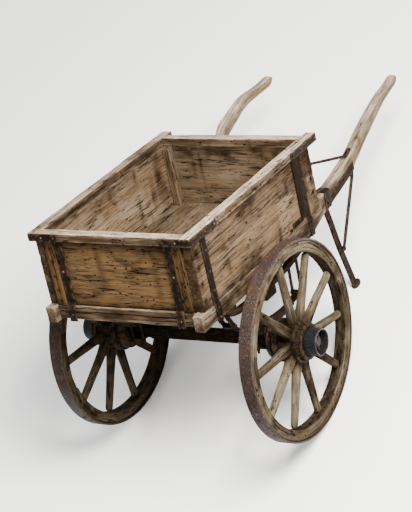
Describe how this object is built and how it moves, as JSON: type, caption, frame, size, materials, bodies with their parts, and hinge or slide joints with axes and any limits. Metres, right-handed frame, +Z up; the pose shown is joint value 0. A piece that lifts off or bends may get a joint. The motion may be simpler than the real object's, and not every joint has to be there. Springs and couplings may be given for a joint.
{
  "type": "weathered wooden hand cart",
  "caption": "Old wooden hand cart: a planked open box on leaf springs and spoked iron-tyred wheels, with shafts that end in grips behind and legs to park on.",
  "frame": {"origin": "bottom centre of the whole cart's box, on the ground, as it is parked on its wheels and legs", "axes": "+X to the cart's right side along the axle, +Y towards the handles, +Z up; the box's floor is tipped back 26.66 degrees"},
  "size_m": [1.232, 2.1116, 1.3317],
  "materials": {
    "weathered_board": "weathered, cracked and stained, unpainted",
    "sill_timber": "rough, greyed, worn round at the ends",
    "rail_timber": "bleached grey on top, hand-worn",
    "batten_wood": "lighter, less weathered",
    "rusty_iron": "wrought iron, dark with rust, edges rubbed bright",
    "spring_steel": "dark, rusty leaves",
    "tyre_iron": "brown-purple rust, polished by the road at the edges",
    "wheel_wood": "bare, dry and chipped",
    "hub_iron": "dark rusty iron with grease dirt",
    "axle_iron": "nearly black, rusty and dirty"
  },
  "bodies": {
    "cart": {"axle": "axle_iron", "corner_iron_front_left": "rusty_iron", "corner_iron_front_right": "rusty_iron", "corner_iron_rear_left": "rusty_iron", "corner_iron_rear_right": "rusty_iron", "corner_post_front_left": "sill_timber", "corner_post_front_right": "sill_timber", "corner_post_rear_left": "sill_timber", "corner_post_rear_right": "sill_timber", "cross_sill_front": "sill_timber", "cross_sill_rear": "sill_timber", "floor": "weathered_board", "front_batten_left": "batten_wood", "front_batten_right": "batten_wood", "front_board_lower": "weathered_board", "front_board_upper": "weathered_board", "front_strap_left": "rusty_iron", "front_strap_right": "rusty_iron", "leaf_spring_left": "spring_steel", "leaf_spring_right": "spring_steel", "leg_brace_left": "rusty_iron", "leg_brace_right": "rusty_iron", "leg_left": "rusty_iron", "leg_right": "rusty_iron", "rear_board_lower": "weathered_board", "rear_board_upper": "weathered_board", "shackle_left": "rusty_iron", "shackle_right": "rusty_iron", "shaft_iron_left": "rusty_iron", "shaft_iron_right": "rusty_iron", "shaft_left": "sill_timber", "shaft_right": "sill_timber", "side_board_lower_left": "weathered_board", "side_board_lower_right": "weathered_board", "side_board_upper_left": "weathered_board", "side_board_upper_right": "weathered_board", "side_strap_front_left": "rusty_iron", "side_strap_front_right": "rusty_iron", "side_strap_rear_left": "rusty_iron", "side_strap_rear_right": "rusty_iron", "spring_bow_left": "rusty_iron", "spring_bow_right": "rusty_iron", "spring_clamp_left": "rusty_iron", "spring_clamp_right": "rusty_iron", "spring_seat_left": "axle_iron", "spring_seat_right": "axle_iron", "stay_left": "rusty_iron", "stay_right": "rusty_iron", "top_rail_front": "rail_timber", "top_rail_left": "rail_timber", "top_rail_rear": "rail_timber", "top_rail_right": "rail_timber"},
    "wheel_left": {"tyre_left": "tyre_iron", "felloes_left": "wheel_wood", "nave_left": "wheel_wood", "hub_cap_left": "hub_iron"},
    "wheel_right": {"tyre_right": "tyre_iron", "felloes_right": "wheel_wood", "nave_right": "wheel_wood", "hub_cap_right": "hub_iron"}
  },
  "joints": [
    {"name": "wheel_left_spin", "type": "hinge", "parent": "cart", "child": "wheel_left", "pos_m": [-0.493, -0.60628, 0.44957], "axis": [1, 0, 0], "continuous": true},
    {"name": "wheel_right_spin", "type": "hinge", "parent": "cart", "child": "wheel_right", "pos_m": [0.493, -0.60628, 0.44957], "axis": [1, 0, 0], "continuous": true}
  ]
}
